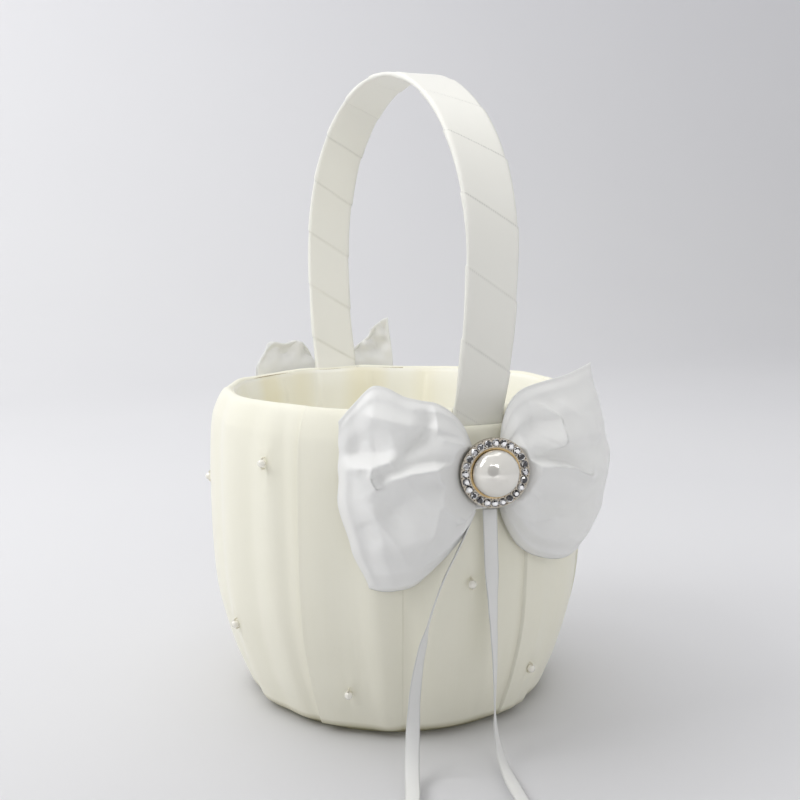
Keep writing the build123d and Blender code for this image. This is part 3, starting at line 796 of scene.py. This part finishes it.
# %% [markdown]
# ## Bows
# Each bow is a wide satin tube, pinched in the middle by a band so that its two halves puff out. The
# satin is light and crisp: it breaks into a few sharp folds that run out from the pinch, with soft hollows
# between them. A loop here is a closed form between two edge lines, given as distance out from the knot
# and height. Its front swells and its back lies on the cover. Strokes laid over the front raise or sink
# the cloth along a line: steep on one side and soft on the other, as a fold is.

# %% Bow helpers
BOW_RADIUS = 76.6
BROOCH_TURN = math.radians(13)
BROOCH_CENTRE = Vector((-0.6, -82.3, 104.6))
BROOCH_X = Vector((math.cos(BROOCH_TURN), -math.sin(BROOCH_TURN), 0))
BROOCH_UP = Vector((0, 0, 1))
BROOCH_OUT = Vector((-math.sin(BROOCH_TURN), -math.cos(BROOCH_TURN), 0))
FRONT_SHARE = 0.6  # of a loop's cloth, the rest is its back
FOLD_GAIN = 1.4  # on the heights given in the stroke tables
CROWN = [  # share of the way down the front, share of the swell
    (0, 0), (0.06, 0.22), (0.18, 0.5), (0.34, 0.9), (0.5, 1), (0.72, 0.93), (0.88, 0.66), (0.96, 0.35),
    (1, 0),
]


def stroke_lift(s, z, strokes):
    """Sum of the folds at a place: each stroke is points, height, width on its left, width on its right."""
    lift = 0.0
    for points, height, left_width, right_width in strokes:
        best = None
        run = 0.0
        lengths = [math.dist(a, b) for a, b in zip(points, points[1:])]
        total = sum(lengths)
        for (a, b), length in zip(zip(points, points[1:]), lengths):
            t = ((s - a[0]) * (b[0] - a[0]) + (z - a[1]) * (b[1] - a[1])) / length ** 2
            t = min(1.0, max(0.0, t))
            x = s - a[0] - (b[0] - a[0]) * t
            y = z - a[1] - (b[1] - a[1]) * t
            distance = math.hypot(x, y)
            if best is None or distance < best[0]:
                side = (b[0] - a[0]) * y - (b[1] - a[1]) * x
                best = (distance, side, (run + t * length) / total)
            run += length
        distance, side, share = best
        width = left_width if side > 0 else right_width
        if distance < 3 * width:
            taper = min(1.0, 4 * share + 0.25) * min(1.0, 3.0 * (1 - share) + 0.12)
            sharpness = 1.05 if height > 0 else 1.7
            lift += FOLD_GAIN * height * taper * math.exp(-(distance / width) ** sharpness)
    return lift


def clear_of_brooch(point):
    """The point, pressed back behind the brooch where it would stand in front of it; in mm."""
    out = (point - BROOCH_CENTRE).dot(BROOCH_OUT)
    across = (point - BROOCH_CENTRE - BROOCH_OUT * out).length
    limit = -0.5 + max(0.0, across - 11.6) * 1.1
    return point - BROOCH_OUT * max(0.0, out - limit)


def bow_loop(name, side, front, top, bottom, end_bulge, puff, strokes, seed, standing=0.0):
    """One loop; side is -1 towards -X, front is -1 at -Y. Edge lines run outward from the knot, in mm.
    standing is how far its outer end stands off the cover."""
    def place(u, v):
        on_front = v < FRONT_SHARE
        t = v / FRONT_SHARE if on_front else 1 - (v - FRONT_SHARE) / (1 - FRONT_SHARE)
        upper = along_rows(top, u)
        lower = along_rows(bottom, u)
        s = upper[0] + (lower[0] - upper[0]) * t + curve_through(end_bulge, t) * u ** 3
        z = upper[1] + (lower[1] - upper[1]) * t
        swell = curve_through(puff, u)
        if on_front:
            depth = 0.6 + swell * curve_through(CROWN, t)
            edge = min(1.0, 5 * t * (1 - t) + 0.12) * smooth_step(1.0, 0.86, u)
            gather = math.exp(-u / 0.13) * math.cos(math.tau * (4.5 * t + 0.2 * seed))
            crinkle = noise.noise(Vector((s * 0.06, z * 0.07, seed))) * 1.3
            crinkle += noise.noise(Vector((s * 0.2, z * 0.25, seed + 9))) * 0.25
            depth += edge * (stroke_lift(s, z, strokes) + gather + crinkle * smooth_step(0, 0.3, u))
            depth = max(0.9, depth)
        else:
            free = smooth_step(126, 133, z) * smooth_step(1.0, 0.9, u) if front > 0 else 0.0
            depth = 0.35 + free * (1.8 + 2.2 * noise.noise(Vector((s * 0.13, z * 0.2, seed + 4))))
            depth += free * 1.6 * math.sin(s * 0.55 + (z - 126) * 0.25)
        angle = s / BOW_RADIUS
        outward = Vector((side * math.sin(angle), front * math.cos(angle), 0))
        reach = BOW_RADIUS + depth + standing * smooth_step(0.45, 1.0, u)
        point = outward * reach + Vector((0, 0, z))
        return (clear_of_brooch(point) if front < 0 else point) * MM

    loop = cloth(name, 110, 170, place, bow_satin, 0.0003, closed=True, offset=-1)
    bm = bmesh.new()
    bm.from_mesh(loop.data)
    bmesh.ops.recalc_face_normals(bm, faces=bm.faces)
    bm.to_mesh(loop.data)
    bm.free()
    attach(loop, "root")
    print(name, len(loop.data.polygons), "faces")
    return loop


# %% Front bow
LEFT_TOP = [
    (5, 109), (6.5, 114), (9.5, 120.5), (14, 125.5), (19, 128.5), (24, 129.5), (30, 131), (36, 134),
    (41, 134.3), (46.5, 129), (52.5, 122),
]
LEFT_BOTTOM = [
    (5, 98), (5.5, 92.5), (7, 86.5), (9.5, 81.5), (12.5, 77.5), (16.5, 73), (21.5, 68), (26.5, 64),
    (32, 62.4), (37, 62), (42, 63),
]
LEFT_END = [(0, 0), (0.15, 1.5), (0.3, 3.2), (0.5, 5.4), (0.75, 3.6), (1, 0)]
LEFT_PUFF = [(0, 1.7), (0.12, 6.5), (0.35, 11.5), (0.6, 12), (0.8, 9), (0.93, 5), (1, 1.0)]
LEFT_STROKES = [
    ([(7, 105), (14, 107.4), (21, 108.4), (28, 107.2), (33, 105.4), (38, 101.8)], 2.6, 0.7, 5.0),
    ([(9, 107.4), (14, 109), (21, 110), (28, 108.8), (33, 107)], -2.4, 5.5, 0.8),
    ([(36.5, 101.2), (38.5, 101.8), (40, 105), (39.5, 109)], 2.4, 1.0, 1.0),
    ([(31, 112.5), (35, 110.3), (41, 108), (46, 107), (51, 106)], 2.2, 1.5, 3.6),
    ([(53, 111), (46, 111.5), (40, 112.3), (33, 114.5)], -2.7, 2.0, 6.0),
    ([(24, 121), (31, 123), (39, 124.5), (47, 125.5)], 2.4, 9.0, 3.6),
    ([(22.5, 127), (22.6, 122), (25, 117.5), (29.5, 113), (33, 109)], -2.4, 2.2, 2.8),
    ([(20.5, 128), (19.8, 124), (20, 118)], 2.1, 1.1, 2.0),
    ([(20, 118), (16, 116.5), (11.5, 115), (7.5, 113.5)], 1.4, 2.2, 1.5),
    ([(26, 99.5), (32, 95), (36, 90)], -1.3, 4.4, 4.4),
    ([(44, 88), (40, 83), (36.5, 83.5)], -1.0, 3.6, 3.6),
    ([(41.5, 95), (36, 87), (32, 81), (29, 74)], 1.2, 3.0, 4.4),
    ([(13, 100), (20, 95), (21.5, 86), (26.5, 76)], 1.5, 3.4, 3.4),
    ([(10, 94), (12, 89), (15, 88.5), (15.5, 92)], 1.2, 1.2, 1.2),
    ([(9, 100.5), (16, 101.5), (26, 103)], -1.5, 2.4, 2.4),
]
RIGHT_TOP = [
    (4.5, 109), (5, 115), (6, 121), (8.5, 127), (13, 131), (19, 133), (25, 134.5), (31, 136), (36, 138),
    (41, 139.5),
]
RIGHT_BOTTOM = [
    (4.5, 98), (4.8, 92.5), (6, 87), (9, 81), (12.5, 76), (17, 72), (22, 69.5), (27, 68.3), (31, 68.8),
    (35, 70.5),
]
RIGHT_END = [(0, 0), (0.25, 8), (0.52, 15.5), (0.75, 10.5), (1, 0)]
RIGHT_PUFF = [(0, 1.7), (0.12, 7), (0.35, 12), (0.6, 12.5), (0.8, 10), (0.93, 6), (1, 1.0)]
RIGHT_STROKES = [
    ([(15, 128), (19, 125.5), (22, 122), (21.5, 117), (20.5, 112.5), (15.5, 110)], 3.2, 0.9, 2.4),
    ([(9, 107), (16, 106.5), (24, 104.5), (31, 100.5), (33, 103), (34, 106.5)], 2.8, 0.7, 4.4),
    ([(9, 108.6), (16, 108.1), (24, 106.1), (30, 102.6)], -2.2, 5.0, 0.8),
    ([(41, 116), (46, 110), (38, 109.5), (31, 114.5)], -1.5, 3.0, 3.0),
    ([(8, 97), (17, 92), (30, 89), (41, 92)], -2.2, 4.0, 4.0),
    ([(5, 89), (12, 86), (21, 87)], 1.6, 2.2, 3.0),
    ([(9, 97.5), (14, 94), (11, 91)], 1.2, 1.6, 1.6),
    ([(10, 113), (14, 119), (16, 126)], -1.4, 3.0, 3.0),
    ([(24, 128), (30, 122), (37, 120)], 1.2, 3.5, 4.0),
    ([(24, 100), (32, 95), (42, 98)], -1.2, 3.0, 3.0),
    ([(15, 78), (22, 80), (30, 77)], 1.2, 3.0, 3.0),
]
front_left = bow_loop(
    "front_bow_left", -1, -1, LEFT_TOP, LEFT_BOTTOM, LEFT_END, LEFT_PUFF, LEFT_STROKES, 1.0
)
front_right = bow_loop(
    "front_bow_right", 1, -1, RIGHT_TOP, RIGHT_BOTTOM, RIGHT_END, RIGHT_PUFF, RIGHT_STROKES, 2.0,
    standing=9.0,
)
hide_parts("front_bow")

# %% Rear bow
REAR_LEFT_TOP = [
    (4.5, 109), (6, 117), (8.5, 127), (12, 134), (17, 137.5), (24, 136.6), (31, 137.6), (36, 134),
    (42, 127),
]
REAR_LEFT_BOTTOM = [
    (4.5, 98), (5.5, 93), (8, 88), (12, 83), (17, 78), (23, 73), (29, 70), (35, 69.5), (40, 73),
]
REAR_RIGHT_TOP = [
    (4.5, 109), (6, 116), (8.5, 124), (11.5, 131.5), (15, 135.5), (19, 138.5), (21, 142.5), (25, 146),
    (28.5, 147.5),
]
REAR_RIGHT_BOTTOM = [
    (4.5, 98), (5, 92.5), (7, 87), (10, 82), (14, 77.5), (18, 73.5), (22, 70.5), (26, 70), (29, 72),
]
REAR_END = [(0, 0), (0.3, 2), (0.55, 4), (0.8, 2.5), (1, 0)]
REAR_PUFF = [(0, 1.7), (0.12, 6), (0.35, 10.5), (0.6, 11), (0.8, 8), (0.93, 4.5), (1, 1.0)]
REAR_STROKES = [
    ([(8, 106), (18, 108), (28, 106), (38, 101)], 2.3, 2.0, 4.5),
    ([(8, 112), (15, 120), (22, 131)], -2.2, 2.6, 2.6),
    ([(24, 130), (27, 122), (33, 116)], 2.2, 1.8, 3.4),
    ([(8, 100), (16, 92), (22, 80)], 2.0, 2.4, 3.0),
    ([(28, 96), (33, 88), (32, 80)], -2.0, 3.2, 3.2),
    ([(10, 103), (20, 100), (30, 99)], -1.5, 2.4, 2.4),
]
rear_left = bow_loop(
    "rear_bow_left", -1, 1, REAR_LEFT_TOP, REAR_LEFT_BOTTOM, REAR_END, REAR_PUFF, REAR_STROKES, 3.0
)
rear_right = bow_loop(
    "rear_bow_right", 1, 1, REAR_RIGHT_TOP, REAR_RIGHT_BOTTOM, REAR_END, REAR_PUFF, REAR_STROKES, 5.0
)
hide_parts("rear_bow")

# %% [markdown]
# ## Bands and the tie's knot
# A short strip of the same satin is pulled tight round each bow's middle, in three small pleats. Below
# the front one hangs the knot of the narrow ribbon, a flat overhand knot whose turns show as two rolls.

# %% Bands and knot
PAD_ROUNDNESS = 0.45  # 1 is a ball, 0 a sharp block


def rounded_block(u, v, low, high, creases, depth):
    """A pinched pad between two corners in mm: u goes round it from the left, v up it."""
    around = 2 * math.pi * u
    centre = (Vector(low) + Vector(high)) / 2
    half = (Vector(high) - Vector(low)) / 2

    def squared(value):
        return math.copysign(abs(value) ** PAD_ROUNDNESS, value)

    rise = math.sin(math.pi * (v - 0.5))
    girth = math.cos(math.pi * (v - 0.5)) ** PAD_ROUNDNESS
    x = half.x * squared(math.cos(around)) * girth
    y = half.y * squared(math.sin(around)) * girth
    z = half.z * squared(rise)
    groove = 1 - depth * (0.5 + 0.5 * math.cos(2 * math.pi * creases * v)) * girth
    return (centre + Vector((x, y * groove, z))) * MM


def tied_pad(name, low, high, creases, depth, material, node):
    """A band or knot between two corners, in a material, in place of a node."""
    def place(u, v):
        return rounded_block(u, v, low, high, creases, depth)

    pad = cloth(name, 72, 60, place, material, 0, closed=True)
    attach(pad, "root")
    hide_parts(node)
    print(name, len(pad.data.polygons), "faces")


tied_pad(
    "front_band", (-6.5, -80.1, 96.9), (6.5, -76.4, 110.1), 3, 0.16, bow_satin,
    "front_bow_band",
)
tied_pad(
    "rear_band", (-6.5, 76.4, 96.9), (6.5, 80.1, 110.1), 3, 0.16, bow_satin,
    "rear_bow_band",
)
tied_pad(
    "ribbon_knot", (-9.0, -79.8, 90.9), (2.6, -76.4, 96.8), 2, 0.25, tail_ribbon,
    "tie_knot",
)

# %% [markdown]
# ## Brooch
# The brooch is cast metal with a nickel finish, a ring of faceted stones held by small claws, and an
# imitation pearl in a gilt cup. The pearl's coat is many thin layers, which a little metal under a clear
# coat stands in for: it mirrors the studio softly. The stones are cut: a flat table, eight slanted
# faces, a girdle, and each facet is painted flat between black and white as painted glints. The other
# nodes of the imported model that show as they are get their finish here too.

# %% Brooch
def metal(name, colour, dark, roughness):
    """Cast and polished metal with dull spots and fine scratches."""
    finish = Finish(name, Metallic=1.0)
    spots = finish.noise(finish.coordinates("Object"), 900.0, 3.0)
    finish.set("Base Color", finish.mix(spots, colour, dark))
    finish.set("Roughness", roughness + spots * 0.12)
    finish.bump(finish.noise(finish.coordinates("Object"), 2600.0, 2.0), 0.00002)
    return finish.material


nickel = metal("polished_nickel", rgb(216, 209, 196), rgb(150, 141, 126), 0.14)
gilt = metal("pale_gilt", rgb(226, 200, 150), rgb(176, 146, 98), 0.2)

pearl_coat = speckled(
    "pearl_coat", rgb(248, 246, 240), rgb(238, 234, 225), 160.0, 3.0,
    Roughness=0.14, Metallic=0.35, Coat_Weight=0.9, Coat_Roughness=0.03,
)
seed_coat = speckled(
    "seed_pearl_coat", rgb(255, 253, 246), rgb(247, 243, 230), 700.0, 3.0,
    Roughness=0.13, Specular_IOR_Level=0.6, Coat_Weight=0.5,
)
sewing_thread = speckled(
    "sewing_thread", rgb(236, 232, 214), rgb(214, 208, 186), 4000.0, 2.0, 0.00005, Roughness=0.8
)
grey_card = speckled(
    "grey_card", rgb(196, 182, 156), rgb(170, 155, 128), 700.0, 5.0, 0.0001, Roughness=0.9
)
CAD_FINISHES = {
    "pail_shell": grey_card, "base_board": grey_card, "handle_rivets": nickel,
    "brooch_shank": nickel, "brooch_plate": nickel, "brooch_setting": nickel, "brooch_cup": gilt,
    "brooch_pearl": pearl_coat, "side_pearls": seed_coat, "pearl_threads": sewing_thread,
}
for node_name, material in CAD_FINISHES.items():
    node = bpy.data.objects[node_name]
    for index in range(len(node.material_slots)):
        node.material_slots[index].material = material
    if not node.material_slots:
        node.data.materials.append(material)
print("finished", len(CAD_FINISHES), "shown nodes")

# %% Stones
STONE_COUNT = 24
STONE_CIRCLE = 10.6  # mm from the brooch's middle
STONE_RINGS = [  # radius and level in mm, corners, twist in eighths of a turn
    (0.72, 3.35, 8, 0.0), (1.14, 3.05, 8, 0.5), (1.34, 2.7, 16, 0.0), (1.0, 2.2, 8, 0.5),
]


def on_brooch(angle, radius, level=0.0):
    """A step from the brooch's middle, round its face and out from it."""
    return (BROOCH_X * math.cos(angle) + BROOCH_UP * math.sin(angle)) * radius + BROOCH_OUT * level


def stone_ring():
    """Cut stones round the brooch, each facet painted flat between black and white as a painted glint. An
    eight-sided ring is made of sixteen corners that meet in pairs, and the pairs are merged."""
    bm = bmesh.new()
    tone = bm.faces.layers.float.new("tone")
    for stone in range(STONE_COUNT):
        bearing = math.tau * stone / STONE_COUNT
        middle = BROOCH_CENTRE + on_brooch(bearing, STONE_CIRCLE)
        rings = []
        for radius, level, corners, twist in STONE_RINGS:
            ring = []
            for k in range(16):
                step = (k // 2 if corners == 8 else k / 2) + twist
                turn = math.tau * step / 8 + bearing
                ring.append(bm.verts.new((middle + on_brooch(turn, radius, level)) * MM))
            rings.append(ring)
        for low, high in zip(rings, rings[1:]):
            for k in range(16):
                bm.faces.new((low[k], high[k], high[(k + 1) % 16], low[(k + 1) % 16]))
        bm.faces.new(rings[0])
        bm.faces.new(rings[-1][::-1])
    bmesh.ops.remove_doubles(bm, verts=bm.verts, dist=2e-6)
    bmesh.ops.dissolve_degenerate(bm, edges=bm.edges, dist=1e-6)
    bmesh.ops.recalc_face_normals(bm, faces=bm.faces)
    # Painted glints: each facet gets a random number, which the finish turns into flat black, grey or
    # white.
    for number, face in enumerate(bm.faces):
        face[tone] = (math.sin(number * 12.9898) * 43758.5453) % 1.0
    mesh = bpy.data.meshes.new("cut_stones")
    bm.to_mesh(mesh)
    bm.free()
    return add_object("cut_stones", mesh)


stone_finish = Finish(
    "foiled_glass", Metallic=0.55, Roughness=0.03, Specular_IOR_Level=0.9, Coat_Weight=1.0,
    Coat_Roughness=0.01,
)
glint_wire = stone_finish.node("ShaderNodeAttribute", {"attribute_name": "tone"}, output=2)
# Painted glints: facets range from near black to white in place of the reflections of cut glass.
flash = [
    (0.0, (0.01, 0.01, 0.012, 1)), (0.4, (0.03, 0.03, 0.035, 1)), (0.55, (0.5, 0.5, 0.53, 1)),
    (0.7, (1, 1, 1, 1)),
]
painted_glint_colour = stone_finish.node("ShaderNodeValToRGB", {"ramp": flash}, {0: glint_wire})
stone_finish.set("Base Color", painted_glint_colour)
cut_stones = stone_ring()
cut_stones.data.materials.append(stone_finish.material)
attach(cut_stones, "root")
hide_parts("brooch_rhinestones")
print("stones", len(cut_stones.data.polygons), "facets")

# %% [markdown]
# ## Backdrop
# The floor and the backdrop are one pale sheet swept up behind the basket, and its colour gets a little
# lighter as it rises: painted light.

# %% Backdrop
SWEEP_START = 0.9  # metres behind the basket's axis
SWEEP_RADIUS = 0.8
SWEEP_STEPS = 12
SHEET_REACH = 14.0
SHEET_TOP = 4.0
SHEET_LEVEL = -0.0001

sweep_finish = Finish("backdrop_paper", Roughness=0.7, Specular_IOR_Level=0.2)
paper = sweep_finish.noise(sweep_finish.coordinates("Object"), 3.0, 2.0)
low_paper = sweep_finish.mix(paper, rgb(224, 224, 225), rgb(220, 220, 222))
# Painted light: the paper's colour is made lighter as the sheet rises.
painted_light_rise = sweep_finish.rise(sweep_finish.axis("Object", 2), 0.1, 1.0)
sweep_finish.set("Base Color", sweep_finish.mix(painted_light_rise, low_paper, rgb(232, 232, 235)))

profile = [(-SHEET_REACH, 0.0), (SWEEP_START, 0.0)]
for step in range(1, SWEEP_STEPS + 1):
    angle = math.radians(90 * step / SWEEP_STEPS)
    profile.append((
        SWEEP_START + SWEEP_RADIUS * math.sin(angle), SWEEP_RADIUS * (1 - math.cos(angle))
    ))
profile.append((SWEEP_START + SWEEP_RADIUS, SHEET_TOP))


def stage_piece(name, bm, material):
    """An object that belongs to the studio and not to the basket."""
    mesh = bpy.data.meshes.new(name)
    bm.to_mesh(mesh)
    bm.free()
    mesh.materials.append(material)
    return add_object(name, mesh)


bm = bmesh.new()
rows = [[bm.verts.new((x, y, z + SHEET_LEVEL)) for y, z in profile] for x in (-SHEET_REACH, SHEET_REACH)]
for k in range(len(profile) - 1):
    face = bm.faces.new((rows[0][k], rows[1][k], rows[1][k + 1], rows[0][k + 1]))
    face.smooth = True
backdrop = stage_piece("backdrop", bm, sweep_finish.material)
print("backdrop", len(backdrop.data.polygons), "faces")

# %% [markdown]
# ## Dark screen
# The pearl is a mirror, and what it shows in its middle is whatever stands where the camera is. A dark
# round screen just behind the camera gives it that dark middle. The camera itself doesn't see it.

# %% Dark screen
SCREEN_RADIUS = 0.17
SCREEN_DISTANCE = 1.12  # as a share of the camera's own
screen_cloth = speckled(
    "dark_screen", rgb(40, 40, 42), rgb(58, 58, 60), 200.0, 2.0, Roughness=0.9
)
bm = bmesh.new()
bmesh.ops.create_circle(bm, cap_ends=True, segments=48, radius=SCREEN_RADIUS)
screen = stage_piece("dark_screen", bm, screen_cloth)
screen.location = camera.location * SCREEN_DISTANCE
screen.rotation_euler = camera.rotation_euler
screen.visible_camera = False
print("dark screen", round(screen.location.length, 2), "m from the basket's foot")
